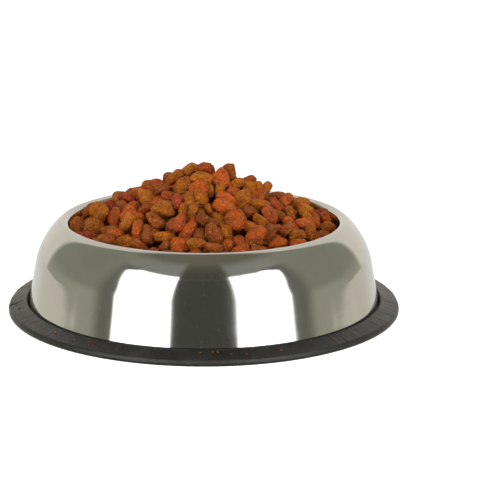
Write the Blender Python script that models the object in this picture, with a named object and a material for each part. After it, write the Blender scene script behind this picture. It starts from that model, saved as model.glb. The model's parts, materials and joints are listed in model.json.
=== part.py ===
"""A no-tip steel pet bowl on a rubber foot ring, heaped with dry kibble.

Units are metres, with +Z up. The origin is the centre of the rubber ring's flat underside, so
the bowl stands on the plane z = 0. The steel is one pressed sheet: a food well in the middle, a
tight rolled rim, a round shoulder, and a skirt that widens down to a small flared foot. The
foot's hem sits in the groove of the rubber ring. The food is a mound with single kibbles on it.
"""

import math
import random

import bmesh
import bpy
from mathutils import Matrix, Vector
from mathutils.bvhtree import BVHTree

MM = 0.001
GAP = 0.3 * MM  # clearance between pieces that touch on the real bowl

# Driving dimensions of the bowl
RING_RADIUS = 125.3 * MM
RIM_CREST_RADIUS = 90.1 * MM
RIM_CREST_HEIGHT = 57.5 * MM
SHEET_THICKNESS = 0.6 * MM
RIM_ROLL_RADIUS = 3.6 * MM
RIM_SLOPE = math.radians(16.0)  # fall of the shoulder where it leaves the rim
WELL_FLOOR_HEIGHT = 6.0 * MM
WELL_CORNER_RADIUS = 16.0 * MM
WELL_WALL_TAPER = math.radians(7.0)
SHOULDER_END = (107.0 * MM, 31.9 * MM)  # where the round shoulder runs into the straight skirt
SKIRT_TAPER = math.radians(11.0)  # lean of the skirt from the vertical
FOOT_FLARE_START = 6.0 * MM
FOOT_FLARE_TURN = math.radians(20.0)
FOOT_FLARE_RADIUS = 2.2 * MM
HEM_BOTTOM = 2.9 * MM
LIP_RADIUS = 113.4 * MM  # inner edge of the ring's top face
LATHE_SEGMENTS = 48

# Driving dimensions of the food
HEAP_TOP = 93.0 * MM
HEAP_EDGE = 53.0 * MM
HEAP_EDGE_RADIUS = 86.0 * MM
HEAP_POWER = 1.14
TOP_LAYER = 13.0 * MM  # depth of the loose top layer that lies over the mound
BED_EDGE_DROP = 3.0 * MM  # extra fall of the mound at the wall of the well
BED_LUMP = 0.9 * MM
KIBBLE_COUNT = 57
KIBBLE_SPREAD = 71.0 * MM
KIBBLE_RADIUS = 6.3 * MM
KIBBLE_THICKNESS = 6.4 * MM
KIBBLE_SEED = 11

# Linear base colours of the kibble, and how many in twenty have each
KIBBLE_COLOURS = {
    "kibble_ochre": ((0.32, 0.095, 0.011), 8),
    "kibble_rust": ((0.36, 0.072, 0.016), 7),
    "kibble_brown": ((0.23, 0.058, 0.014), 4),
    "kibble_crimson": ((0.30, 0.036, 0.021), 1),
}


def clear_scene():
    for old in list(bpy.data.objects):
        bpy.data.objects.remove(old, do_unlink=True)


def make_material(name, colour, roughness, metallic=0.0):
    material = bpy.data.materials.new(name)
    material.use_nodes = True
    shader = material.node_tree.nodes["Principled BSDF"]
    shader.inputs["Base Color"].default_value = (*colour, 1.0)
    shader.inputs["Roughness"].default_value = roughness
    shader.inputs["Metallic"].default_value = metallic
    return material


def add_object(name, mesh, material):
    obj = bpy.data.objects.new(name, mesh)
    bpy.context.scene.collection.objects.link(obj)
    mesh.materials.append(material)
    mesh.shade_smooth()
    mesh.set_sharp_from_angle(angle=math.radians(40.0))
    return obj


# ---- outlines, as lists of (radius, height) ----


def arc(centre, radius, start, end, steps):
    """Points on a circle, from angle start to angle end, both included."""
    points = []
    for i in range(steps + 1):
        angle = start + (end - start) * i / steps
        points.append((centre[0] + radius * math.cos(angle), centre[1] + radius * math.sin(angle)))
    return points


def bezier(p0, p1, p2, p3, steps):
    """Points on a cubic Bezier curve, both ends included."""
    points = []
    for i in range(steps + 1):
        t = i / steps
        s = 1.0 - t
        weights = (s**3, 3 * s * s * t, 3 * s * t * t, t**3)
        points.append(tuple(sum(w * p[k] for w, p in zip(weights, (p0, p1, p2, p3))) for k in (0, 1)))
    return points


def offset_path(path, distance):
    """The path moved sideways by distance, to the right of its direction of travel."""
    moved = []
    for i, point in enumerate(path):
        before = path[max(i - 1, 0)]
        after = path[min(i + 1, len(path) - 1)]
        back = (Vector(point) - Vector(before)).normalized()
        ahead = (Vector(after) - Vector(point)).normalized()
        travel = (back + ahead).normalized()
        stretch = 1.0 / max(travel.dot(ahead if ahead.length else back), 0.5)
        moved.append((point[0] + travel.y * distance * stretch, point[1] - travel.x * distance * stretch))
    return moved


def foot_outline():
    """The hem, the reversed curve of the flare and the foot of the straight skirt, going up."""
    run = SHOULDER_END[1] - FOOT_FLARE_START
    start = (SHOULDER_END[0] + run * math.tan(SKIRT_TAPER), FOOT_FLARE_START)
    centre = (
        start[0] + FOOT_FLARE_RADIUS * math.cos(SKIRT_TAPER),
        start[1] + FOOT_FLARE_RADIUS * math.sin(SKIRT_TAPER),
    )
    turn = SKIRT_TAPER + FOOT_FLARE_TURN
    upper = arc(centre, FOOT_FLARE_RADIUS, math.pi + turn, math.pi + SKIRT_TAPER, 3)
    meet = upper[0]
    hem_radius = FOOT_FLARE_RADIUS * 0.5
    hem_centre = (meet[0] - hem_radius * math.cos(turn), meet[1] - hem_radius * math.sin(turn))
    lower = arc(hem_centre, hem_radius, 0.0, turn, 3)
    return [(lower[0][0], HEM_BOTTOM)] + lower[:-1] + upper


def rim_centre():
    return (
        RIM_CREST_RADIUS - RIM_ROLL_RADIUS * math.sin(RIM_SLOPE),
        RIM_CREST_HEIGHT - RIM_ROLL_RADIUS * math.cos(RIM_SLOPE),
    )


def shoulder_outline():
    """The shoulder, from the top of the straight skirt up to the crest of the rim."""
    skirt_up = (-math.sin(SKIRT_TAPER), math.cos(SKIRT_TAPER))
    low_handle = (SHOULDER_END[0] + 11.8 * MM * skirt_up[0], SHOULDER_END[1] + 11.8 * MM * skirt_up[1])
    crest = (RIM_CREST_RADIUS, RIM_CREST_HEIGHT)
    high_handle = (crest[0] + 4.5 * MM, crest[1] - 4.5 * MM * math.tan(RIM_SLOPE))
    return bezier(SHOULDER_END, low_handle, high_handle, crest, 9)


def rim_outline():
    """The tight roll of the rim, from its crest to the top of the well's wall."""
    return arc(rim_centre(), RIM_ROLL_RADIUS, math.pi / 2 - RIM_SLOPE, math.pi - WELL_WALL_TAPER, 5)


def well_outline():
    """The well's corner and floor, from the foot of its wall in to the axis."""
    wall_top = rim_outline()[-1]
    corner_height = WELL_FLOOR_HEIGHT + WELL_CORNER_RADIUS
    drop = wall_top[1] - corner_height
    wall_foot = wall_top[0] - drop * math.tan(WELL_WALL_TAPER)
    centre = (wall_foot - WELL_CORNER_RADIUS / math.cos(WELL_WALL_TAPER), corner_height)
    corner = arc(centre, WELL_CORNER_RADIUS, -WELL_WALL_TAPER, -math.pi / 2, 5)
    return corner + [(0.0, WELL_FLOOR_HEIGHT)]


def sheet_outline():
    """The closed section of the steel sheet: its outer skin, then its inner skin back to the hem."""
    outer = foot_outline() + shoulder_outline() + rim_outline()[1:] + well_outline()
    inner = offset_path(outer, -SHEET_THICKNESS)
    inner[-1] = (0.0, WELL_FLOOR_HEIGHT - SHEET_THICKNESS)
    inner[0] = (inner[0][0], HEM_BOTTOM)
    return outer + inner[::-1]


def ring_outline():
    """The closed section of the rubber ring, with the groove that grips the hem."""
    hem_outer = foot_outline()[0][0]
    groove_outer = hem_outer + 1.3 * GAP
    groove_inner = hem_outer - SHEET_THICKNESS - 2.5 * GAP
    groove_floor = HEM_BOTTOM - 1.3 * GAP
    lip_height = 6.9 * MM
    shelf_height = 4.6 * MM
    inside = groove_inner - 3.5 * MM
    outer = RING_RADIUS
    return [
        (inside, 0.0),
        (outer - 0.7 * MM, 0.0),
        (outer, 0.8 * MM),
        (outer - 0.2 * MM, 2.2 * MM),
        (outer - 0.9 * MM, 3.6 * MM),
        (outer - 1.6 * MM, 4.0 * MM),
        (LIP_RADIUS + 0.7 * MM, lip_height),
        (LIP_RADIUS, lip_height - 0.2 * MM),
        (groove_outer, lip_height - 1.4 * MM),
        (groove_outer, groove_floor),
        (groove_inner, groove_floor),
        (groove_inner, shelf_height),
        (inside, shelf_height),
    ]


def lathe(name, outline):
    """A closed section turned round the Z axis. Points on the axis become one point."""
    bm = bmesh.new()
    section = [bm.verts.new((radius, 0.0, height)) for radius, height in outline]
    edges = []
    for here, there in zip(section, section[1:] + section[:1]):
        if here.co.x > 0.0 or there.co.x > 0.0:
            edges.append(bm.edges.new((here, there)))
    bmesh.ops.spin(
        bm,
        geom=section + edges,
        cent=(0.0, 0.0, 0.0),
        axis=(0.0, 0.0, 1.0),
        angle=2.0 * math.pi,
        steps=LATHE_SEGMENTS,
        use_merge=True,
    )
    bmesh.ops.remove_doubles(bm, verts=bm.verts, dist=1e-6)
    bmesh.ops.recalc_face_normals(bm, faces=bm.faces)
    mesh = bpy.data.meshes.new(name)
    bm.to_mesh(mesh)
    bm.free()
    return mesh


# ---- the food ----


def heap_height(radius):
    """Height of the food's visible surface at this distance from the axis."""
    share = min(radius / HEAP_EDGE_RADIUS, 1.0)
    return HEAP_EDGE + (HEAP_TOP - HEAP_EDGE) * (1.0 - share**HEAP_POWER)


def bed_height(x, y):
    """Height of the mound under the top layer, with shallow lumps."""
    radius = math.hypot(x, y)
    fall = BED_EDGE_DROP * (radius / HEAP_EDGE_RADIUS) ** 4
    lumps = math.sin(x / MM * 0.52 + 0.7) * math.cos(y / MM * 0.47) + math.sin((x + y) / MM * 0.31)
    return heap_height(math.hypot(radius, 6.0 * MM)) - TOP_LAYER - fall + BED_LUMP * lumps


def bed_mesh():
    """The mound: the well's own shape below, a lumpy cone above."""
    wall_top = rim_outline()[-1]
    edge_height = heap_height(HEAP_EDGE_RADIUS) - TOP_LAYER - BED_EDGE_DROP - 2.0 * BED_LUMP
    edge_radius = wall_top[0] - (wall_top[1] - edge_height) * math.tan(WELL_WALL_TAPER) - 1.5 * GAP
    floor = [(0.0, WELL_FLOOR_HEIGHT + GAP)]
    corner = [(r - 1.5 * GAP, z + GAP) for r, z in well_outline()[-2::-1]]
    rings = floor + corner + [(edge_radius, edge_height)]
    top_rings = 9
    steps = 40
    bm = bmesh.new()
    layers = []
    for radius, height in rings:
        layers.append([(radius, height)] * steps)
    for i in range(1, top_rings):
        radius = edge_radius * (1.0 - i / top_rings)
        row = []
        for k in range(steps):
            angle = 2.0 * math.pi * k / steps
            row.append((radius, bed_height(radius * math.cos(angle), radius * math.sin(angle))))
        layers.append(row)
    layers.append([(0.0, bed_height(0.0, 0.0))] * steps)
    loops = []
    for row in layers:
        if row[0][0] == 0.0:
            loops.append([bm.verts.new((0.0, 0.0, row[0][1]))] * steps)
            continue
        loop = []
        for k, (radius, height) in enumerate(row):
            angle = 2.0 * math.pi * k / steps
            loop.append(bm.verts.new((radius * math.cos(angle), radius * math.sin(angle), height)))
        loops.append(loop)
    for low, high in zip(loops, loops[1:]):
        for k in range(steps):
            after = (k + 1) % steps
            corners = [low[k], low[after], high[after], high[k]]
            bm.faces.new(list(dict.fromkeys(corners)))
    bmesh.ops.triangulate(bm, faces=bm.faces)
    bmesh.ops.recalc_face_normals(bm, faces=bm.faces)
    mesh = bpy.data.meshes.new("kibble_bed")
    bm.to_mesh(mesh)
    bm.free()
    return mesh


def kibble_outline(kind, angle):
    """How far the edge of a kibble of this kind lies from its middle, in kibble radii."""
    if kind == "triangle":
        return 1.0 + 0.15 * math.cos(3.0 * angle) + 0.02 * math.cos(6.0 * angle)
    if kind == "oval":
        return 1.0 / math.hypot(math.cos(angle) / 1.22, math.sin(angle) / 0.80)
    if kind == "heart":
        return 1.0 + 0.12 * math.cos(3.0 * angle) + 0.10 * math.cos(angle) - 0.07 * math.cos(2.0 * angle)
    if kind == "bean":
        return 1.0 / math.hypot(math.cos(angle) / 1.2, math.sin(angle) / 0.78) - 0.12 * math.sin(angle)
    return 1.0 + 0.03 * math.cos(2.0 * angle)


def kibble_mesh(name, kind, radius, thickness, rng):
    """One kibble about its own middle: a plump tablet with domed faces and uneven sides."""
    bm = bmesh.new()
    bmesh.ops.create_icosphere(bm, subdivisions=2, radius=1.0)
    lean = rng.uniform(-0.14, 0.14)
    wave = rng.uniform(0.0, 2.0 * math.pi)
    for vert in bm.verts:
        angle = math.atan2(vert.co.y, vert.co.x)
        flat = math.hypot(vert.co.x, vert.co.y)
        spread = flat**0.66 * kibble_outline(kind, angle) if flat > 0.0 else 0.0
        uneven = 1.0 + 0.04 * math.sin(2.0 * angle + wave) + 0.03 * math.sin(5.0 * angle - wave)
        height = math.copysign(abs(vert.co.z) ** 0.8, vert.co.z)
        vert.co.x = radius * (spread * math.cos(angle) * uneven + lean * height)
        vert.co.y = radius * spread * math.sin(angle) * uneven
        vert.co.z = 0.5 * thickness * height * (1.0 + lean * spread * math.cos(angle))
    bmesh.ops.recalc_face_normals(bm, faces=bm.faces)
    mesh = bpy.data.meshes.new(name)
    bm.to_mesh(mesh)
    bm.free()
    return mesh


def drop_distance(points, faces, bed):
    """How far a kibble can fall before some point of it meets the mound."""
    down = Vector((0.0, 0.0, -1.0))
    nearest = 1.0
    for point in points:
        hit = bed.ray_cast(point, down)
        if hit[0] is not None:
            nearest = min(nearest, hit[3])
    kibble = BVHTree.FromPolygons(points, faces)
    middle = sum(points, Vector()) / len(points)
    reach = 1.6 * KIBBLE_RADIUS
    steps = 16
    for i in range(steps + 1):
        for k in range(steps + 1):
            x = middle.x + reach * (2.0 * i / steps - 1.0)
            y = middle.y + reach * (2.0 * k / steps - 1.0)
            ground = bed.ray_cast(Vector((x, y, 0.2)), down)
            belly = kibble.ray_cast(Vector((x, y, 0.0)), -down)
            if ground[0] is not None and belly[0] is not None:
                nearest = min(nearest, belly[0].z - ground[0].z)
    return nearest


def colour_cycle():
    names = []
    for name, (_, share) in KIBBLE_COLOURS.items():
        names += [name] * share
    return names


def add_kibbles(materials, bed):
    """Single kibbles spread over the mound by the golden angle, each let down until it rests."""
    rng = random.Random(KIBBLE_SEED)
    kinds = ("triangle", "oval", "heart", "triangle", "disc", "bean")
    golden = math.pi * (3.0 - math.sqrt(5.0))
    colours = colour_cycle()
    rng.shuffle(colours)
    for i in range(KIBBLE_COUNT):
        name = f"kibble_{i + 1:02d}"
        size = rng.uniform(0.90, 1.10)
        mesh = kibble_mesh(name, rng.choice(kinds), KIBBLE_RADIUS * size, KIBBLE_THICKNESS * size, rng)
        away = KIBBLE_SPREAD * math.sqrt((i + 0.5) / KIBBLE_COUNT)
        around = i * golden
        x = away * math.cos(around)
        y = away * math.sin(around)
        rise = HEAP_TOP - HEAP_EDGE
        slope = Vector((rise * math.cos(around), rise * math.sin(around), HEAP_EDGE_RADIUS)).normalized()
        tilt = Vector((rng.gauss(0.0, 0.33), rng.gauss(0.0, 0.33), 0.0))
        facing = (slope + tilt).normalized().to_track_quat("Z", "Y")
        turn = Matrix.Rotation(rng.uniform(0.0, 2.0 * math.pi), 4, "Z")
        pose = Matrix.Translation((x, y, 0.15)) @ facing.to_matrix().to_4x4() @ turn
        points = [pose @ vert.co for vert in mesh.vertices]
        faces = [tuple(face.vertices) for face in mesh.polygons]
        pose.translation.z -= drop_distance(points, faces, bed) - 1.5 * GAP
        kibble = add_object(name, mesh, materials[colours[i % len(colours)]])
        kibble.matrix_world = pose


def build():
    clear_scene()
    steel = make_material("steel", (0.56, 0.56, 0.53), 0.14, metallic=1.0)
    rubber = make_material("rubber", (0.030, 0.030, 0.028), 0.55)
    mound = make_material("kibble_bed", (0.16, 0.045, 0.012), 0.85)
    materials = {name: make_material(name, colour, 0.7) for name, (colour, _) in KIBBLE_COLOURS.items()}
    add_object("bowl_shell", lathe("bowl_shell", sheet_outline()), steel)
    add_object("rubber_ring", lathe("rubber_ring", ring_outline()), rubber)
    bed_data = bed_mesh()
    add_object("kibble_bed", bed_data, mound)
    points = [vert.co.copy() for vert in bed_data.vertices]
    faces = [tuple(face.vertices) for face in bed_data.polygons]
    add_kibbles(materials, BVHTree.FromPolygons(points, faces))


build()
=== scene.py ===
"""The looks of a steel pet bowl heaped with dry kibble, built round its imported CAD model.

Units are metres, in the CAD model's own frame: the origin is the centre of the rubber ring's
underside, +Z is up, and -Y faces the viewer. The steel sheet and the rubber ring are turned again
at a fine step, each CAD kibble gets a detailed kibble in its own place, and the rest of the top
layer is dropped on to the heap by a rigid body simulation.
"""

import json
import math
import random

import bmesh
import bpy
import numpy as np
from mathutils import Matrix, Quaternion, Vector, noise
from mathutils.bvhtree import BVHTree

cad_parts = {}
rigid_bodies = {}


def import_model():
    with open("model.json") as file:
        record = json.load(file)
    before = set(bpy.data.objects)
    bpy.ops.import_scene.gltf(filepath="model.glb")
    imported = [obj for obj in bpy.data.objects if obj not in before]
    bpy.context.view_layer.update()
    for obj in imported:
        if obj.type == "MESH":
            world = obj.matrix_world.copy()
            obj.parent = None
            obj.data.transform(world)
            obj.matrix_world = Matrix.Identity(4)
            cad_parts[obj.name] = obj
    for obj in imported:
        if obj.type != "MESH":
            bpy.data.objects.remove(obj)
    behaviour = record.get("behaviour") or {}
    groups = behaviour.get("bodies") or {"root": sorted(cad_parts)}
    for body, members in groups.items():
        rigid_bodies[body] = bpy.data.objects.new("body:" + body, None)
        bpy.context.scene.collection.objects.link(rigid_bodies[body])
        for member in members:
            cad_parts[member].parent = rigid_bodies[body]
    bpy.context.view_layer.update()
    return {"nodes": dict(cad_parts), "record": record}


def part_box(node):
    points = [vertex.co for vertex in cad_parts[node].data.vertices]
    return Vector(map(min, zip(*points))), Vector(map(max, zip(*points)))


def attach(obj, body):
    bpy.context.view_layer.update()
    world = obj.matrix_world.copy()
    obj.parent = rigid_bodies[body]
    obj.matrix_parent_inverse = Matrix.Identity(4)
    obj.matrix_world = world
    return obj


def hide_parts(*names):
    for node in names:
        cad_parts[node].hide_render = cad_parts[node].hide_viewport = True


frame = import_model()

MM = 0.001
BODY = "root"

# The bowl's section, as in the CAD model
RING_RADIUS = 125.3 * MM
RIM_CREST = (90.1 * MM, 57.5 * MM)
SHEET = 0.6 * MM
RIM_ROLL = 3.6 * MM
RIM_SLOPE = math.radians(16.0)
WELL_FLOOR = 6.0 * MM
WELL_CORNER = 16.0 * MM
WELL_TAPER = math.radians(7.0)
SHOULDER_END = (107.0 * MM, 31.9 * MM)
SKIRT_TAPER = math.radians(11.0)
FLARE_START = 6.0 * MM
FLARE_TURN = math.radians(20.0)
FLARE_RADIUS = 2.2 * MM
HEM_BOTTOM = 2.9 * MM
LIP_RADIUS = 113.4 * MM
GAP = 0.3 * MM
LATHE_STEPS = 256
RING_STEPS = 720

# The ring's moulding seam and its wrinkles
SEAM_ANGLE = math.radians(187.5)
SEAM_WIDTH = 1.0 * MM
SEAM_DEPTH = 1.1 * MM
WRINKLE_DEPTH = 0.18 * MM
CRUMB_COUNT = 26

# The heap and its top layer of 57, as in the CAD model
HEAP_TOP = 93.0 * MM
HEAP_EDGE = 53.0 * MM
HEAP_EDGE_RADIUS = 86.0 * MM
HEAP_POWER = 1.14
KIBBLE_SPREAD = 71.0 * MM
KIBBLE_RADIUS = 6.3 * MM
KIBBLE_THICKNESS = 6.4 * MM
KIBBLE_SEED = 11
KIBBLE_KINDS = ("triangle", "oval", "heart", "triangle", "disc", "bean")
GOLDEN_ANGLE = math.pi * (3.0 - math.sqrt(5.0))

# The loose kibble round those of the CAD model
KIBBLE_CELLS = 14  # faces along each side of the cube that a kibble's mesh is blown up from
KIBBLE_CRISPNESS = 1.12  # how far the edge round a kibble's faces is squared off
BED_TOPS = 190
DROP_LAYERS = ((79 * MM, 104), (78 * MM, 92), (72 * MM, 70), (48 * MM, 40))  # radius, number of kibbles
DROP_SPACING = 15.0 * MM
DROP_START = 13.0 * MM
DROP_FRAMES = 130
SIM_SCALE = 100.0  # the simulation runs in centimetres, where its tolerances suit a kibble
HEAP_SEED = 5

# Four colours of kibble: dark and light linear colour, and how many in twenty have each
KIBBLE_LOOKS = {
    "kibble_ochre": ((0.16, 0.037, 0.003), (0.46, 0.130, 0.008), 8),
    "kibble_rust": ((0.19, 0.028, 0.005), (0.50, 0.092, 0.012), 7),
    "kibble_brown": ((0.12, 0.026, 0.005), (0.32, 0.074, 0.011), 4),
    "kibble_crimson": ((0.16, 0.012, 0.006), (0.40, 0.044, 0.018), 1),
}

# The camera: a long lens, a little above the bowl
CAMERA_DISTANCE = 1.0
CAMERA_ELEVATION = math.radians(15.03)
CAMERA_TARGET = Vector((0.0, 0.0, 30.0 * MM))
CAMERA_LENS = 114.5
CAMERA_SHIFT = (0.0841, 0.0288)


# ---- small helpers ----


def new_object(name, mesh, material, smooth_angle=None):
    obj = bpy.data.objects.new(name, mesh)
    bpy.context.scene.collection.objects.link(obj)
    mesh.materials.append(material)
    mesh.shade_smooth()
    if smooth_angle is not None:
        mesh.set_sharp_from_angle(angle=math.radians(smooth_angle))
    return obj


def new_mesh(name, points, faces):
    mesh = bpy.data.meshes.new(name)
    mesh.from_pydata([tuple(p) for p in points], [], [tuple(f) for f in faces])
    mesh.update()
    return mesh


def add_node(tree, kind, inputs=None, **settings):
    """A node of this kind. inputs maps a socket's name or number to a value or another socket."""
    made = tree.nodes.new(kind)
    for key, value in settings.items():
        setattr(made, key, value)
    for key, value in (inputs or {}).items():
        if isinstance(value, bpy.types.NodeSocket):
            tree.links.new(value, made.inputs[key])
        else:
            made.inputs[key].default_value = value
    return made


def maths(tree, operation, *values):
    return add_node(tree, "ShaderNodeMath", dict(enumerate(values)), operation=operation).outputs[0]


def remap(tree, value, low, high, new_low=0.0, new_high=1.0, smooth=True):
    inputs = {"Value": value, "From Min": low, "From Max": high, "To Min": new_low, "To Max": new_high}
    style = "SMOOTHSTEP" if smooth else "LINEAR"
    return add_node(tree, "ShaderNodeMapRange", inputs, interpolation_type=style).outputs["Result"]


def blend_colour(tree, factor, first, second, how="MIX"):
    made = add_node(tree, "ShaderNodeMix", data_type="RGBA", blend_type=how)
    sockets = {s.identifier: s for s in made.inputs}
    for name, value in (("Factor_Float", factor), ("A_Color", first), ("B_Color", second)):
        if isinstance(value, bpy.types.NodeSocket):
            tree.links.new(value, sockets[name])
        elif name == "Factor_Float":
            sockets[name].default_value = value
        else:
            sockets[name].default_value = (*value, 1.0)
    return next(s for s in made.outputs if s.identifier == "Result_Color")


def noise_map(tree, vector, scale, detail=4.0, roughness=0.55):
    inputs = {"Vector": vector, "Scale": scale, "Detail": detail, "Roughness": roughness}
    return add_node(tree, "ShaderNodeTexNoise", inputs).outputs["Fac"]


def new_material(name):
    material = bpy.data.materials.new(name)
    material.use_nodes = True
    tree = material.node_tree
    return material, tree, tree.nodes["Principled BSDF"]


def bump(tree, height, strength, distance, normal=None):
    inputs = {"Height": height, "Strength": strength, "Distance": distance}
    if normal is not None:
        inputs["Normal"] = normal
    return add_node(tree, "ShaderNodeBump", inputs).outputs["Normal"]


# ---- materials ----


def steel_material():
    """Polished stainless sheet: turned polishing lines, faint smears and a few specks."""
    material, tree, shader = new_material("steel_polished")
    place = add_node(tree, "ShaderNodeTexCoord").outputs["Object"]
    axes = add_node(tree, "ShaderNodeSeparateXYZ", {"Vector": place}).outputs
    radius = maths(tree, "SQRT", maths(tree, "ADD", maths(tree, "POWER", axes["X"], 2.0),
                                       maths(tree, "POWER", axes["Y"], 2.0)))
    angle = maths(tree, "ARCTAN2", axes["Y"], axes["X"])
    turned = add_node(tree, "ShaderNodeCombineXYZ", {
        "X": maths(tree, "MULTIPLY", angle, 1.6),
        "Y": maths(tree, "MULTIPLY", radius, 1900.0),
        "Z": maths(tree, "MULTIPLY", axes["Z"], 1900.0),
    }).outputs["Vector"]
    lines = noise_map(tree, turned, 1.0, 3.0, 0.7)
    smears = noise_map(tree, place, 26.0, 5.0, 0.6)
    specks = remap(tree, noise_map(tree, place, 1500.0, 1.0), 0.72, 0.78)
    rough = maths(tree, "ADD", remap(tree, smears, 0.35, 0.75, 0.030, 0.080),
                  maths(tree, "MULTIPLY", lines, 0.045))
    tree.links.new(maths(tree, "ADD", rough, maths(tree, "MULTIPLY", specks, 0.25)),
                   shader.inputs["Roughness"])
    tone = blend_colour(tree, remap(tree, smears, 0.3, 0.8), (0.60, 0.60, 0.575), (0.54, 0.54, 0.515))
    tree.links.new(blend_colour(tree, specks, tone, (0.36, 0.35, 0.33)), shader.inputs["Base Color"])
    dents = bump(tree, noise_map(tree, place, 22.0, 1.0), 0.10, 0.0012)
    tree.links.new(bump(tree, lines, 0.065, 0.0001, dents), shader.inputs["Normal"])
    shader.inputs["Metallic"].default_value = 1.0
    shader.inputs["Anisotropic"].default_value = 0.35
    return material


def rubber_material():
    """Satin black rubber with a dusty bloom, fine grain and wrinkles across the ring."""
    material, tree, shader = new_material("rubber_moulded")
    place = add_node(tree, "ShaderNodeTexCoord").outputs["Object"]
    axes = add_node(tree, "ShaderNodeSeparateXYZ", {"Vector": place}).outputs
    angle = maths(tree, "ARCTAN2", axes["Y"], axes["X"])
    across = add_node(tree, "ShaderNodeCombineXYZ", {
        "X": maths(tree, "MULTIPLY", angle, 30.0),
        "Y": maths(tree, "MULTIPLY", axes["Z"], 60.0),
    }).outputs["Vector"]
    wrinkles = noise_map(tree, across, 2.2, 4.0, 0.65)
    dust = noise_map(tree, place, 55.0, 7.0, 0.7)
    grain = noise_map(tree, place, 1300.0, 2.0)
    colour = blend_colour(tree, remap(tree, dust, 0.42, 0.72, 0.0, 0.75), (0.005, 0.005, 0.0046),
                          (0.018, 0.0176, 0.016))
    tree.links.new(colour, shader.inputs["Base Color"])
    tree.links.new(remap(tree, dust, 0.3, 0.7, 0.30, 0.48), shader.inputs["Roughness"])
    fine = bump(tree, grain, 0.25, 0.0001)
    tree.links.new(bump(tree, wrinkles, 0.7, 0.0006, fine), shader.inputs["Normal"])
    shader.inputs["Specular IOR Level"].default_value = 0.5
    return material


def kibble_material(name, dark, light):
    """Baked food: mottled crust and pale meal, with painted shade in its pits, cells and crust hollows, and
    flecks of fat painted bright as glints.
    """
    material, tree, shader = new_material(name)
    local = add_node(tree, "ShaderNodeAttribute", attribute_name="kibble_local").outputs["Vector"]
    tint = add_node(tree, "ShaderNodeAttribute", attribute_name="kibble_tint").outputs["Fac"]
    pit_shading = add_node(tree, "ShaderNodeAttribute", attribute_name="kibble_pore_shading").outputs["Fac"]
    patches = noise_map(tree, local, 260.0, 4.0, 0.65)
    rough_crust = noise_map(tree, local, 620.0, 3.0, 0.6)
    meal = noise_map(tree, local, 1250.0, 3.0, 0.65)
    cells = add_node(tree, "ShaderNodeTexVoronoi", {"Vector": local, "Scale": 1500.0}).outputs["Distance"]
    crust = maths(tree, "ADD", maths(tree, "MULTIPLY", patches, 0.9), maths(tree, "MULTIPLY", meal, 0.55))
    crust = maths(tree, "ADD", crust, maths(tree, "MULTIPLY", tint, 0.30))
    colour = blend_colour(tree, remap(tree, crust, 0.50, 1.10), dark, light)
    stain = noise_map(tree, local, 120.0, 2.0)
    colour = blend_colour(tree, remap(tree, stain, 0.42, 0.70, 0.0, 0.65), colour, (0.21, 0.056, 0.006))
    # Painted shade: the hollows of the coarse crust bump are darkened
    colour = blend_colour(tree, remap(tree, rough_crust, 0.50, 0.34, 0.0, 0.40), colour,
                          tuple(0.45 * c for c in dark))
    pale = tuple(1.35 * c + 0.012 for c in light)
    colour = blend_colour(tree, remap(tree, meal, 0.58, 0.78, 0.0, 0.6), colour, pale)
    # Painted shade: points deep in pits, slits and grooves between ribs, and the pits of the fine cell
    # bump, are darkened
    pit_shade_colour = tuple(0.35 * c for c in dark)
    colour = blend_colour(tree, remap(tree, pit_shading, 0.15, 0.9, 0.0, 0.8), colour, pit_shade_colour)
    colour = blend_colour(tree, remap(tree, cells, 0.30, 0.10, 0.0, 0.45), colour, pit_shade_colour)
    # Small flecks of fat painted bright as their glints: a painted highlight on real flecks
    glint_flecks = remap(tree, noise_map(tree, local, 1700.0, 1.0), 0.68, 0.76)
    colour = blend_colour(tree, glint_flecks, colour, (0.80, 0.48, 0.22))
    tree.links.new(colour, shader.inputs["Base Color"])
    tree.links.new(remap(tree, meal, 0.3, 0.75, 0.72, 0.42), shader.inputs["Roughness"])
    height = maths(tree, "ADD", maths(tree, "MULTIPLY", meal, 0.8), maths(tree, "MULTIPLY", cells, 0.7))
    coarse = bump(tree, rough_crust, 1.0, 0.0016)
    tree.links.new(bump(tree, height, 1.0, 0.0009, coarse), shader.inputs["Normal"])
    shader.inputs["Specular IOR Level"].default_value = 0.22
    return material


def floor_material():
    """A pale floor that is lit evenly enough to run into the white behind it."""
    material, tree, shader = new_material("studio_floor")
    shader.inputs["Base Color"].default_value = (0.88, 0.88, 0.88, 1.0)
    shader.inputs["Roughness"].default_value = 0.8
    shader.inputs["Specular IOR Level"].default_value = 0.1
    shader.inputs["Emission Color"].default_value = (1.0, 1.0, 1.0, 1.0)
    shader.inputs["Emission Strength"].default_value = 0.38
    return material


# ---- the bowl's section, as lists of (radius, height) ----


def arc(centre, radius, start, end, steps):
    angles = [start + (end - start) * i / steps for i in range(steps + 1)]
    return [(centre[0] + radius * math.cos(a), centre[1] + radius * math.sin(a)) for a in angles]


def bezier(p0, p1, p2, p3, steps):
    points = []
    for i in range(steps + 1):
        t = i / steps
        s = 1.0 - t
        weights = (s**3, 3 * s * s * t, 3 * s * t * t, t**3)
        points.append(tuple(sum(w * p[k] for w, p in zip(weights, (p0, p1, p2, p3))) for k in (0, 1)))
    return points


def straight(start, end, steps):
    """Points between two ends, neither included."""
    shares = [i / steps for i in range(1, steps)]
    return [(start[0] + (end[0] - start[0]) * s, start[1] + (end[1] - start[1]) * s) for s in shares]


def offset_path(path, distance):
    """The path moved sideways by distance, to the right of its direction of travel."""
    line = np.array(path)
    travel = np.gradient(line, axis=0)
    travel /= np.linalg.norm(travel, axis=1)[:, None]
    moved = line + distance * np.stack([travel[:, 1], -travel[:, 0]], axis=1)
    return [tuple(p) for p in moved]


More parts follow.
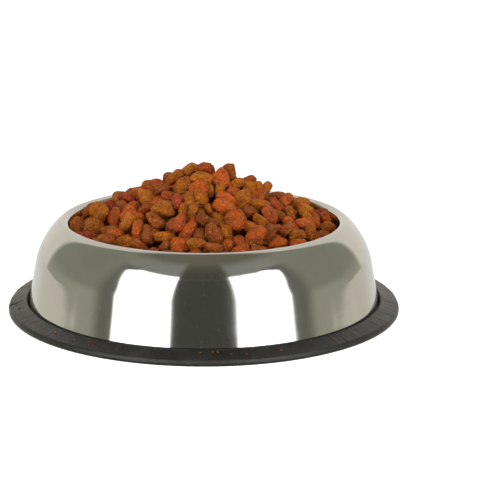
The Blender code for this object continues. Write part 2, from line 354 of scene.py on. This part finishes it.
def foot_outline():
    run = SHOULDER_END[1] - FLARE_START
    start = (SHOULDER_END[0] + run * math.tan(SKIRT_TAPER), FLARE_START)
    centre = (start[0] + FLARE_RADIUS * math.cos(SKIRT_TAPER),
              start[1] + FLARE_RADIUS * math.sin(SKIRT_TAPER))
    turn = SKIRT_TAPER + FLARE_TURN
    upper = arc(centre, FLARE_RADIUS, math.pi + turn, math.pi + SKIRT_TAPER, 8)
    hem_radius = FLARE_RADIUS * 0.5
    meet = upper[0]
    hem_centre = (meet[0] - hem_radius * math.cos(turn), meet[1] - hem_radius * math.sin(turn))
    lower = arc(hem_centre, hem_radius, 0.0, turn, 6)
    hem_end = (lower[0][0], HEM_BOTTOM)
    return [hem_end] + straight(hem_end, lower[0], 3) + lower[:-1] + upper


def shoulder_outline():
    skirt_up = (-math.sin(SKIRT_TAPER), math.cos(SKIRT_TAPER))
    low_handle = (SHOULDER_END[0] + 11.8 * MM * skirt_up[0], SHOULDER_END[1] + 11.8 * MM * skirt_up[1])
    high_handle = (RIM_CREST[0] + 4.5 * MM, RIM_CREST[1] - 4.5 * MM * math.tan(RIM_SLOPE))
    return bezier(SHOULDER_END, low_handle, high_handle, RIM_CREST, 30)


def rim_outline():
    centre = (RIM_CREST[0] - RIM_ROLL * math.sin(RIM_SLOPE), RIM_CREST[1] - RIM_ROLL * math.cos(RIM_SLOPE))
    return arc(centre, RIM_ROLL, math.pi / 2 - RIM_SLOPE, math.pi - WELL_TAPER, 14)


def sheet_outline():
    foot = foot_outline()
    rim = rim_outline()
    corner_height = WELL_FLOOR + WELL_CORNER
    wall_foot = rim[-1][0] - (rim[-1][1] - corner_height) * math.tan(WELL_TAPER)
    centre = (wall_foot - WELL_CORNER / math.cos(WELL_TAPER), corner_height)
    corner = arc(centre, WELL_CORNER, -WELL_TAPER, -math.pi / 2, 10)
    floor_end = (0.0, WELL_FLOOR)
    outer = foot + straight(foot[-1], SHOULDER_END, 6) + shoulder_outline() + rim[1:]
    outer += straight(rim[-1], corner[0], 6) + corner + straight(corner[-1], floor_end, 5) + [floor_end]
    inner = offset_path(outer, -SHEET)
    inner[0] = (inner[0][0], HEM_BOTTOM)
    inner[-1] = (0.0, WELL_FLOOR - SHEET)
    return outer + inner[::-1]


def ring_outline():
    hem_outer = foot_outline()[0][0]
    groove_outer = hem_outer + 1.3 * GAP
    groove_inner = hem_outer - SHEET - 2.5 * GAP
    groove_floor = HEM_BOTTOM - 1.3 * GAP
    lip = 6.9 * MM
    inside = groove_inner - 3.5 * MM
    edge = RING_RADIUS
    outer_edge = bezier((edge - 0.7 * MM, 0.0), (edge + 0.3 * MM, 0.1 * MM), (edge - 0.1 * MM, 3.9 * MM),
                        (edge - 2.0 * MM, 4.15 * MM), 12)
    lip_round = 0.6 * MM
    lip_centre = (LIP_RADIUS + lip_round, lip - lip_round)
    lip_edge = arc(lip_centre, lip_round, math.radians(72.0), math.radians(160.0), 6)
    outline = [(inside, 0.0)] + straight((inside, 0.0), outer_edge[0], 5) + outer_edge
    outline += straight(outer_edge[-1], lip_edge[0], 8) + lip_edge
    outline += [(groove_outer, lip - 1.4 * MM), (groove_outer, groove_floor), (groove_inner, groove_floor),
                (groove_inner, 4.6 * MM), (inside, 4.6 * MM)]
    return outline


def lathe(name, outline, steps=LATHE_STEPS):
    """A closed section turned round the Z axis. A point on the axis is made once."""
    points = []
    rows = []
    for radius, height in outline:
        if radius == 0.0:
            rows.append([len(points)] * steps)
            points.append((0.0, 0.0, height))
            continue
        rows.append(list(range(len(points), len(points) + steps)))
        for k in range(steps):
            angle = 2.0 * math.pi * k / steps
            points.append((radius * math.cos(angle), radius * math.sin(angle), height))
    faces = []
    for here, there in zip(rows, rows[1:] + rows[:1]):
        if here[0] == here[1] and there[0] == there[1]:
            continue
        for k in range(steps):
            after = (k + 1) % steps
            corners = (here[k], here[after], there[after], there[k])
            faces.append(tuple(dict.fromkeys(corners)))
    return new_mesh(name, points, faces)


def make_shell(material):
    shell = new_object("steel_bowl", lathe("steel_bowl", sheet_outline()), material, 50.0)
    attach(shell, BODY)
    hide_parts("bowl_shell")


def make_ring(material):
    """The rubber ring, with wrinkles across its top and the moulding seam at one side."""
    mesh = lathe("foot_ring", ring_outline(), RING_STEPS)
    for vert in mesh.vertices:
        x, y, z = vert.co
        radius = math.hypot(x, y)
        if z < 0.5 * MM or radius < 115.5 * MM:
            continue
        angle = math.atan2(y, x) % (2.0 * math.pi)
        fold = noise.noise(Vector((angle * 26.0, radius * 60.0, 3.0)))
        fold += 0.5 * noise.noise(Vector((angle * 75.0, radius * 90.0, 9.0)))
        dip = WRINKLE_DEPTH * fold
        away = (angle - SEAM_ANGLE) * RING_RADIUS / SEAM_WIDTH
        dip += SEAM_DEPTH * math.exp(-away * away) * min(1.0, max(0.0, (radius - 117.0 * MM) / (4.0 * MM)))
        moved = Vector((x, y, z)) - Vector((x / radius * 0.5, y / radius * 0.5, 0.85)) * dip
        vert.co = (moved.x, moved.y, max(moved.z, 0.2 * MM))
    ring = new_object("foot_ring", mesh, material, 50.0)
    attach(ring, BODY)
    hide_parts("rubber_ring")


def make_crumbs(material):
    """Broken bits of kibble that lie on the ring's top, which falls 2.75 mm from lip to edge."""
    rng = random.Random(HEAP_SEED + 2)
    ways, faces = coarse_ball()
    points = []
    all_faces = []
    for i in range(CRUMB_COUNT):
        angle = math.radians(270.0 + rng.gauss(-14.0, 42.0))
        radius = rng.uniform(116.0, 122.0) * MM
        slope = (radius - 114.5 * MM) / (8.8 * MM)
        size = rng.uniform(0.25, 0.62) * MM
        height = (6.9 - 2.75 * slope) * MM + size * 0.5
        middle = np.array((radius * math.cos(angle), radius * math.sin(angle), height))
        shift = Vector((i * 3.1, 0.0, 0.0))
        bumps = np.array([1.0 + 0.35 * noise.noise(Vector(way * 1.7) + shift) for way in ways])
        all_faces += [[k + len(points) for k in face] for face in faces]
        points += list(middle + ways * bumps[:, None] * size * (1.0, 0.8, 0.7))
    mesh = new_mesh("food_crumbs", points, all_faces)
    add_column(mesh, "kibble_local", np.array(points))
    add_column(mesh, "kibble_tint", np.full(len(points), 0.8))
    add_column(mesh, "kibble_pore_shading", np.zeros(len(points)))
    crumbs = new_object("food_crumbs", mesh, material)
    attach(crumbs, BODY)


# ---- kibble shapes ----


def blown_cube(cells):
    """Unit directions and four-sided faces of a cube blown up to a sphere, evenly spaced."""
    bm = bmesh.new()
    bmesh.ops.create_cube(bm, size=2.0)
    bmesh.ops.subdivide_edges(bm, edges=bm.edges, cuts=cells - 1, use_grid_fill=True)
    for vert in bm.verts:
        vert.co = Vector([math.tan(c * math.pi / 4.0) for c in vert.co]).normalized()
    directions = np.array([vert.co for vert in bm.verts])
    faces = np.array([[v.index for v in face.verts] for face in bm.faces])
    bm.free()
    return directions, faces


BALL, BALL_FACES = blown_cube(KIBBLE_CELLS)


def kibble_outline(kind, angle):
    """How far the edge of a kibble of this kind lies from its middle, in kibble radii."""
    if kind == "triangle":
        return 1.0 + 0.15 * np.cos(3.0 * angle) + 0.02 * np.cos(6.0 * angle)
    if kind == "oval":
        return 1.0 / np.hypot(np.cos(angle) / 1.22, np.sin(angle) / 0.80)
    if kind == "heart":
        return 1.0 + 0.12 * np.cos(3.0 * angle) + 0.10 * np.cos(angle) - 0.07 * np.cos(2.0 * angle)
    if kind == "bean":
        return 1.0 / np.hypot(np.cos(angle) / 1.2, np.sin(angle) / 0.78) - 0.12 * np.sin(angle)
    return 1.0 + 0.03 * np.cos(2.0 * angle)


def kibble_form(ways, shape, crisp=0.0):
    """Points of a kibble for these unit directions, shaped as the CAD kibbles are.

    shape is (kind, size, lean, wave). crisp squares off the edge between the faces and the side.
    """
    kind, size, lean, wave = shape
    angle = np.arctan2(ways[:, 1], ways[:, 0])
    spread = np.hypot(ways[:, 0], ways[:, 1]) ** (0.66 - 0.22 * crisp) * kibble_outline(kind, angle)
    uneven = 1.0 + 0.04 * np.sin(2.0 * angle + wave) + 0.03 * np.sin(5.0 * angle - wave)
    height = np.sign(ways[:, 2]) * np.abs(ways[:, 2]) ** (0.8 - 0.12 * crisp)
    x = KIBBLE_RADIUS * size * (spread * np.cos(angle) * uneven + lean * height)
    y = KIBBLE_RADIUS * size * spread * np.sin(angle) * uneven
    z = 0.5 * KIBBLE_THICKNESS * size * height * (1.0 + lean * spread * np.cos(angle))
    return np.stack([x, y, z], axis=1)


def random_shape(rng, smallest, largest):
    size = rng.uniform(smallest, largest)
    kind = rng.choice(KIBBLE_KINDS)
    lean = rng.uniform(-0.14, 0.14)
    return kind, size, lean, rng.uniform(0.0, 2.0 * math.pi)


def coarse_ball():
    bm = bmesh.new()
    bmesh.ops.create_icosphere(bm, subdivisions=2, radius=1.0)
    ways = np.array([vert.co for vert in bm.verts])
    faces = [[v.index for v in face.verts] for face in bm.faces]
    bm.free()
    return ways, faces


def fine_kibble(shape, seed):
    """A detailed kibble about its own middle: its points, and how deep each lies in a pore, which sets the
    painted shade there.
    """
    points = kibble_form(BALL, shape, KIBBLE_CRISPNESS)
    outward = points / np.linalg.norm(points, axis=1)[:, None]
    shift = Vector((seed * 3.7, seed * 1.9, seed * 5.3))
    slit_way = seed * 2.4
    pit_shading = np.empty(len(BALL))
    for i, (way, point) in enumerate(zip(BALL, points)):
        place = Vector(point / MM) + shift
        face = min(1.0, abs(float(way[2])) * 1.25)
        side = max(0.0, 1.0 - abs(float(way[2])) * 1.7)
        angle = math.atan2(way[1], way[0])
        lumps = noise.noise(place * 0.30)
        crumb = noise.fractal(place * 0.95, 0.8, 2.1, 2)
        ribs = side * (noise.noise(Vector((angle * 5.5, point[2] / MM * 0.16, 0.0)) + shift)
                       + 0.6 * noise.noise(Vector((angle * 11.0, point[2] / MM * 0.2, 7.0)) + shift))
        pit = max(0.0, noise.noise(place * 0.75 + Vector((40.0, 0.0, 0.0))) - 0.34)
        across = (point[0] * math.cos(slit_way) + point[1] * math.sin(slit_way)) / MM
        slit = face * math.exp(-((across - 0.6) / 0.35) ** 2) if seed % 6 == 0 and way[2] > 0 else 0.0
        rise = 0.42 * lumps + 0.34 * crumb + 0.66 * ribs - 1.1 * pit - 1.0 * slit
        points[i] = point + outward[i] * rise * MM
        # How deep the point lies in a pit, slit or groove, which the material turns into painted shade
        pit_shading[i] = min(1.0, 1.6 * pit + 0.9 * slit + 0.5 * max(0.0, -ribs) + 0.25 * max(0.0, -crumb))
    return points, points + np.array(shift) * MM, pit_shading


def kibble_piece(name, members, material):
    """One mesh of detailed kibbles. Each member is (shape, pose, tint, seed)."""
    all_points = []
    all_faces = []
    columns = {"kibble_local": [], "kibble_pore_shading": [], "kibble_tint": []}
    for k, (shape, pose, tint, seed) in enumerate(members):
        points, local, pit_shading = fine_kibble(shape, seed)
        all_points.append(points @ np.array(pose.to_3x3()).T + np.array(pose.translation))
        all_faces.append(BALL_FACES + k * len(BALL))
        columns["kibble_local"].append(local)
        columns["kibble_pore_shading"].append(pit_shading)
        columns["kibble_tint"].append(np.full(len(points), tint))
    mesh = new_mesh(name, np.concatenate(all_points), np.concatenate(all_faces))
    for column, rows in columns.items():
        add_column(mesh, column, np.concatenate(rows))
    return new_object(name, mesh, material)


def add_column(mesh, name, values):
    kind, field = ("FLOAT_VECTOR", "vector") if values.ndim == 2 else ("FLOAT", "value")
    layer = mesh.attributes.new(name, kind, "POINT")
    layer.data.foreach_set(field, values.astype(np.float32).ravel())


# ---- the heap ----


def heap_height(radius):
    share = min(radius / HEAP_EDGE_RADIUS, 1.0)
    return HEAP_EDGE + (HEAP_TOP - HEAP_EDGE) * (1.0 - share**HEAP_POWER)


def drop_places(rng):
    """Where each loose kibble starts: layers that follow the heap, by the golden angle."""
    places = []
    for layer, (reach, count) in enumerate(DROP_LAYERS):
        turn = rng.uniform(0.0, 2.0 * math.pi)
        for i in range(count):
            away = reach * math.sqrt((i + 0.5) / count)
            around = i * GOLDEN_ANGLE + turn
            height = heap_height(away) + DROP_START + DROP_SPACING * layer
            spin = Quaternion([rng.gauss(0.0, 1.0) for _ in range(4)]).normalized()
            place = Matrix.Translation((away * math.cos(around), away * math.sin(around), height))
            places.append(place @ spin.to_matrix().to_4x4())
    return places


def solid_copy(name, mesh_points, faces, collection, place=None):
    """A stand-in for the simulation, in its own units."""
    mesh = new_mesh(name, np.array(mesh_points) * SIM_SCALE, faces)
    obj = bpy.data.objects.new(name, mesh)
    collection.objects.link(obj)
    if place is not None:
        obj.matrix_world = Matrix.Translation(place.translation * SIM_SCALE) @ place.to_3x3().to_4x4()
    return obj


def give_bodies(objects, kind, shape):
    for obj in bpy.context.scene.objects:
        obj.select_set(obj in objects)
    bpy.context.view_layer.objects.active = objects[0]
    bpy.ops.rigidbody.objects_add(type=kind)
    for obj in objects:
        body = obj.rigid_body
        body.collision_shape = shape
        body.friction = 0.9
        body.restitution = 0.0
        body.use_margin = True
        body.collision_margin = 0.01
        body.linear_damping = 0.15
        body.angular_damping = 0.5


def settle(shapes, places):
    """Lets the loose kibbles fall on to the CAD heap, and returns where each one comes to rest."""
    scene = bpy.context.scene
    holder = bpy.data.collections.new("settling")
    scene.collection.children.link(holder)
    bpy.ops.rigidbody.world_add()
    world = scene.rigidbody_world
    world.substeps_per_frame = 12
    world.solver_iterations = 20
    world.point_cache.frame_end = DROP_FRAMES
    ways, faces = coarse_ball()
    fixed = []
    for name, node in frame["nodes"].items():
        if name.startswith("kibble_") and name != "kibble_bed":
            fixed.append(solid_copy("fixed_" + name, *mesh_arrays(node.data), holder))
    walls = [solid_copy("fixed_" + name, *mesh_arrays(frame["nodes"][name].data), holder)
             for name in ("kibble_bed", "bowl_shell")]
    loose = [solid_copy(f"loose_{i:03d}", kibble_form(ways, shape), faces, holder, place)
             for i, (shape, place) in enumerate(zip(shapes, places))]
    give_bodies(fixed, "PASSIVE", "CONVEX_HULL")
    give_bodies(walls, "PASSIVE", "MESH")
    give_bodies(loose, "ACTIVE", "CONVEX_HULL")
    for step in range(1, DROP_FRAMES + 1):
        scene.frame_set(step)
    graph = bpy.context.evaluated_depsgraph_get()
    rests = []
    for obj in loose:
        matrix = obj.evaluated_get(graph).matrix_world
        rests.append(Matrix.Translation(matrix.translation / SIM_SCALE) @ matrix.to_3x3().to_4x4())
    bpy.ops.rigidbody.world_remove()
    for obj in fixed + walls + loose:
        bpy.data.objects.remove(obj, do_unlink=True)
    bpy.data.collections.remove(holder)
    scene.frame_set(1)
    return rests


def mesh_arrays(mesh):
    points = np.empty(3 * len(mesh.vertices))
    mesh.vertices.foreach_get("co", points)
    return points.reshape(-1, 3), [tuple(face.vertices) for face in mesh.polygons]


def cad_kibble_poses():
    """The seeded draws of the CAD model again: each kibble's name, shape and pose."""
    rng = random.Random(KIBBLE_SEED)
    rng.shuffle(colour_names())
    names = sorted(n for n in frame["nodes"] if n.startswith("kibble_") and n != "kibble_bed")
    ways = coarse_ball()[0]
    rise = HEAP_TOP - HEAP_EDGE
    rows = []
    for i, name in enumerate(names):
        shape = random_shape(rng, 0.90, 1.10)
        away = KIBBLE_SPREAD * math.sqrt((i + 0.5) / len(names))
        around = i * GOLDEN_ANGLE
        slope = Vector((rise * math.cos(around), rise * math.sin(around), HEAP_EDGE_RADIUS)).normalized()
        tilt = Vector((rng.gauss(0.0, 0.33), rng.gauss(0.0, 0.33), 0.0))
        facing = (slope + tilt).normalized().to_track_quat("Z", "Y").to_matrix().to_4x4()
        pose = facing @ Matrix.Rotation(rng.uniform(0.0, 2.0 * math.pi), 4, "Z")
        lowest = (kibble_form(ways, shape) @ np.array(pose.to_3x3()).T)[:, 2].min()
        place = (away * math.cos(around), away * math.sin(around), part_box(name)[0][2] - lowest)
        rows.append((name, shape, Matrix.Translation(place) @ pose))
    return rows


def in_heap(rest):
    """Whether a settled kibble stayed in the bowl and under the heap's outline."""
    x, y, z = rest.translation
    away = math.hypot(x, y)
    return away < 85.0 * MM and 20.0 * MM < z < heap_height(away) - 1.0 * MM


def colour_names():
    names = []
    for name, (_, _, share) in KIBBLE_LOOKS.items():
        names += [name] * share
    return names


def make_kibbles(materials):
    rng = random.Random(HEAP_SEED)
    slots = {row["node"]: row["material_slot"] for row in frame["record"]["subparts"]}
    for i, (name, shape, pose) in enumerate(cad_kibble_poses()):
        piece = kibble_piece("food_" + name, [(shape, pose, rng.random(), i + 1)], materials[slots[name]])
        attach(piece, BODY)
        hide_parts(name)
    places = drop_places(rng)
    shapes = [random_shape(rng, 0.84, 1.10) for _ in places]
    rests = settle(shapes, places)
    names = colour_names()
    groups = {name: [] for name in KIBBLE_LOOKS}
    for i, (shape, rest) in enumerate(zip(shapes, rests)):
        look = rng.choice(names)
        tint = rng.random()
        if in_heap(rest):
            groups[look].append((shape, rest, tint, 100 + i))
    print("loose kibbles kept:", {k: len(v) for k, v in groups.items()})
    for look, members in groups.items():
        for part, half in enumerate((members[0::2], members[1::2])):
            piece = kibble_piece(f"food_{look}_{part + 1}", half, materials[look])
            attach(piece, BODY)


def make_bed(material):
    """The kibble below the top layer: a mound of packed round tops that only shows in the gaps, coloured
    dark as painted shade.
    """
    node = frame["nodes"]["kibble_bed"]
    points, faces = mesh_arrays(node.data)
    solid = BVHTree.FromPolygons([Vector(p) for p in points], faces)
    low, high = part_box("kibble_bed")
    edge = high[0] - 0.4 * MM
    rings, steps = 56, 160
    rng = random.Random(HEAP_SEED + 1)
    tops = []
    for i in range(BED_TOPS):
        away = edge * math.sqrt((i + 0.5) / BED_TOPS)
        around = i * GOLDEN_ANGLE + rng.uniform(-0.03, 0.03)
        tops.append((away * math.cos(around), away * math.sin(around)))
    tops = np.array(tops)
    rows = []
    for i in range(rings + 1):
        radius = edge * (1.0 - i / rings)
        row = []
        for k in range(steps):
            angle = 2.0 * math.pi * k / steps
            x, y = radius * math.cos(angle), radius * math.sin(angle)
            hit = solid.ray_cast(Vector((x * 0.985, y * 0.985, 0.2)), Vector((0.0, 0.0, -1.0)))
            nearest = np.sqrt(((tops - (x, y)) ** 2).sum(axis=1).min()) / (7.0 * MM)
            row.append((x, y, hit[0].z - 4.5 * MM * min(1.0, nearest) ** 2))
        rows.append(row)
    below = []
    for inset, height in ((2.0 * MM, 30.0 * MM), (8.0 * MM, 14.0 * MM), (24.0 * MM, 7.0 * MM)):
        row = []
        for k in range(steps):
            angle = 2.0 * math.pi * k / steps
            row.append(((edge - inset) * math.cos(angle), (edge - inset) * math.sin(angle), height))
        below.append(row)
    rows = below[::-1] + rows[:-1]
    flat = [p for row in rows for p in row]
    peak = solid.ray_cast(Vector((0.0, 0.0, 0.2)), Vector((0.0, 0.0, -1.0)))[0].z
    flat += [(0.0, 0.0, 7.0 * MM), (0.0, 0.0, peak)]
    faces = []
    for i in range(len(rows) - 1):
        for k in range(steps):
            after = (k + 1) % steps
            faces.append((i * steps + k, i * steps + after, (i + 1) * steps + after, (i + 1) * steps + k))
    last = (len(rows) - 1) * steps
    for k in range(steps):
        after = (k + 1) % steps
        faces.append((after, k, len(flat) - 2))
        faces.append((last + k, last + after, len(flat) - 1))
    mesh = new_mesh("food_below", flat, faces)
    # A middling pore value and a low tint over the whole mound darken it further: painted shade
    add_column(mesh, "kibble_pore_shading", np.full(len(flat), 0.35))
    add_column(mesh, "kibble_tint", np.full(len(flat), 0.1))
    add_column(mesh, "kibble_local", np.array(flat))
    bed = new_object("food_below", mesh, material)
    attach(bed, BODY)
    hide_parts("kibble_bed")


# ---- the studio ----


def make_floor():
    reach = 12.0
    corners = [(-reach, -reach, 0.0), (reach, -reach, 0.0), (reach, reach, 0.0), (-reach, reach, 0.0)]
    floor = new_object("floor", new_mesh("floor", corners, [(0, 1, 2, 3)]), floor_material())
    floor.visible_glossy = False


def make_softbox(name, azimuth, elevation, distance, width, height, power):
    """A square light that faces the bowl. Azimuth is from the viewer's side, to the right."""
    a, e = math.radians(azimuth), math.radians(elevation)
    way = Vector((math.sin(a) * math.cos(e), -math.cos(a) * math.cos(e), math.sin(e)))
    light = bpy.data.lights.new(name, "AREA")
    light.shape = "RECTANGLE"
    light.size = width
    light.size_y = height
    light.energy = power
    obj = bpy.data.objects.new(name, light)
    bpy.context.scene.collection.objects.link(obj)
    obj.location = way * distance
    obj.rotation_euler = way.to_track_quat("Z", "Y").to_euler()
    return obj


def make_lights():
    left = make_softbox("softbox_left", -44.0, 26.0, 1.6, 1.20, 1.20, 17.0)
    right = make_softbox("softbox_right", 40.0, 26.0, 1.6, 1.20, 1.20, 17.0)
    sun = bpy.data.lights.new("overhead_fill", "SUN")
    sun.energy = 1.4
    sun.angle = math.radians(60.0)
    fill = bpy.data.objects.new("overhead_fill", sun)
    bpy.context.scene.collection.objects.link(fill)
    fill.rotation_euler = (math.radians(24.0), 0.0, 0.0)
    for obj in (left, right, fill):
        obj.visible_glossy = False  # their reflections are those of the world's painted softboxes


def falling(tree, value, at, soft):
    """1 below this value and 0 above it, over the softness to each side."""
    return maths(tree, "SUBTRACT", 1.0, remap(tree, value, at - soft, at + soft))


def window(tree, value, low, high, soft):
    """1 between low and high, falling to 0 over the softness at each end."""
    rising = remap(tree, value, low - soft, low + soft)
    return maths(tree, "MULTIPLY", rising, falling(tree, value, high, soft))


def make_world():
    """The room that the steel mirrors.

    Two tall softboxes stand before the bowl with a dark gap between them. The sides of the room
    are grey-green, the ceiling is dim, and a white sweep runs up behind the bowl.
    """
    world = bpy.data.worlds.new("studio")
    bpy.context.scene.world = world
    world.use_nodes = True
    tree = world.node_tree
    way = add_node(tree, "ShaderNodeTexCoord").outputs["Generated"]
    axes = add_node(tree, "ShaderNodeSeparateXYZ", {"Vector": way}).outputs
    nearward = maths(tree, "MULTIPLY", axes["Y"], -1.0)
    azimuth = maths(tree, "DEGREES", maths(tree, "ARCTAN2", axes["X"], nearward))
    aside = maths(tree, "ABSOLUTE", azimuth)
    raised = maths(tree, "DEGREES", maths(tree, "ARCSINE", axes["Z"]))

    # The dark gap between the softboxes, the room at each side, and the sweep and ceiling
    gap = (0.085, 0.085, 0.074)
    above_gap = (0.130, 0.125, 0.090)
    beside = (0.185, 0.185, 0.150)
    room = blend_colour(tree, remap(tree, raised, 0.0, 14.0), (0.430, 0.415, 0.330), (0.305, 0.310, 0.245))
    over = (0.33, 0.335, 0.295)
    ceiling = (0.20, 0.19, 0.145)
    sweep = (0.86, 0.80, 0.72)
    colour = blend_colour(tree, remap(tree, raised, 43.5, 64.0), gap, above_gap)
    colour = blend_colour(tree, window(tree, raised, 43.6, 45.4, 0.5), colour, (0.125, 0.118, 0.085))
    colour = blend_colour(tree, remap(tree, aside, 17.0, 24.0), colour,
                          blend_colour(tree, remap(tree, raised, 46.0, 52.0), beside, over))
    colour = blend_colour(tree, remap(tree, aside, 68.0, 80.0), colour, room)
    bend = maths(tree, "MULTIPLY", remap(tree, raised, 25.0, 55.0), 8.0)
    turned = maths(tree, "ADD", aside, bend)
    colour = blend_colour(tree, remap(tree, turned, 129.0, 135.0), colour, sweep)
    colour = blend_colour(tree, remap(tree, raised, 58.0, 72.0), colour, ceiling)

    # The floor, whose edge stands a little higher towards the sides
    floor = blend_colour(tree, remap(tree, aside, 86.0, 94.0), (0.44, 0.43, 0.35), (0.74, 0.70, 0.59))
    floor = blend_colour(tree, remap(tree, aside, 132.0, 146.0), floor, (0.80, 0.79, 0.74))
    rise = maths(tree, "ADD", remap(tree, aside, 114.0, 125.0, 0.0, 2.3), falling(tree, aside, 94.0, 3.0))
    below = falling(tree, maths(tree, "SUBTRACT", raised, rise), -3.4, 0.4)
    colour = blend_colour(tree, below, colour, floor)

    # The two softboxes, which widen upwards and whose outer corners dip
    flare = maths(tree, "MULTIPLY", remap(tree, raised, 16.0, 46.0), 6.0)
    corner = maths(tree, "MULTIPLY", maths(tree, "MAXIMUM", maths(tree, "SUBTRACT", aside, 55.0), 0.0), 0.4)
    nearer = maths(tree, "MULTIPLY", maths(tree, "GREATER_THAN", azimuth, 0.0), 1.1)
    box = falling(tree, maths(tree, "ADD", maths(tree, "SUBTRACT", aside, flare), nearer), 60.4, 1.2)
    box = maths(tree, "MULTIPLY", box, window(tree, aside, 21.3, 120.0, 0.8))
    box = maths(tree, "MULTIPLY", box, window(tree, maths(tree, "ADD", raised, corner), -4.0, 47.4, 0.6))
    path = add_node(tree, "ShaderNodeLightPath").outputs
    shown = maths(tree, "MULTIPLY", box, path["Is Glossy Ray"])
    colour = blend_colour(tree, shown, colour, (3.4, 3.4, 3.4))
    colour = blend_colour(tree, path["Is Camera Ray"], colour, (1.0, 1.0, 1.0))
    tree.links.new(colour, tree.nodes["Background"].inputs["Color"])


def make_camera():
    camera = bpy.data.cameras.new("camera")
    camera.lens = CAMERA_LENS
    camera.shift_x, camera.shift_y = CAMERA_SHIFT
    camera.clip_end = 50.0
    obj = bpy.data.objects.new("camera", camera)
    bpy.context.scene.collection.objects.link(obj)
    back = Vector((0.0, -math.cos(CAMERA_ELEVATION), math.sin(CAMERA_ELEVATION)))
    obj.location = CAMERA_TARGET + back * CAMERA_DISTANCE
    obj.rotation_euler = back.to_track_quat("Z", "Y").to_euler()
    bpy.context.scene.camera = obj


def main():
    kibble_materials = {}
    for look, (dark, light, _) in KIBBLE_LOOKS.items():
        kibble_materials[look] = kibble_material(look, dark, light)
    # The kibble below the top layer is coloured far darker than the kibble above it: painted shade for the
    # gaps it shows through
    below = kibble_material("kibble_below_shaded", (0.060, 0.016, 0.003), (0.20, 0.052, 0.007))
    make_shell(steel_material())
    make_ring(rubber_material())
    make_kibbles(kibble_materials)
    make_bed(below)
    make_crumbs(kibble_materials["kibble_ochre"])
    make_floor()
    make_lights()
    make_world()
    make_camera()
    bpy.context.scene.view_settings.view_transform = "Standard"


main()
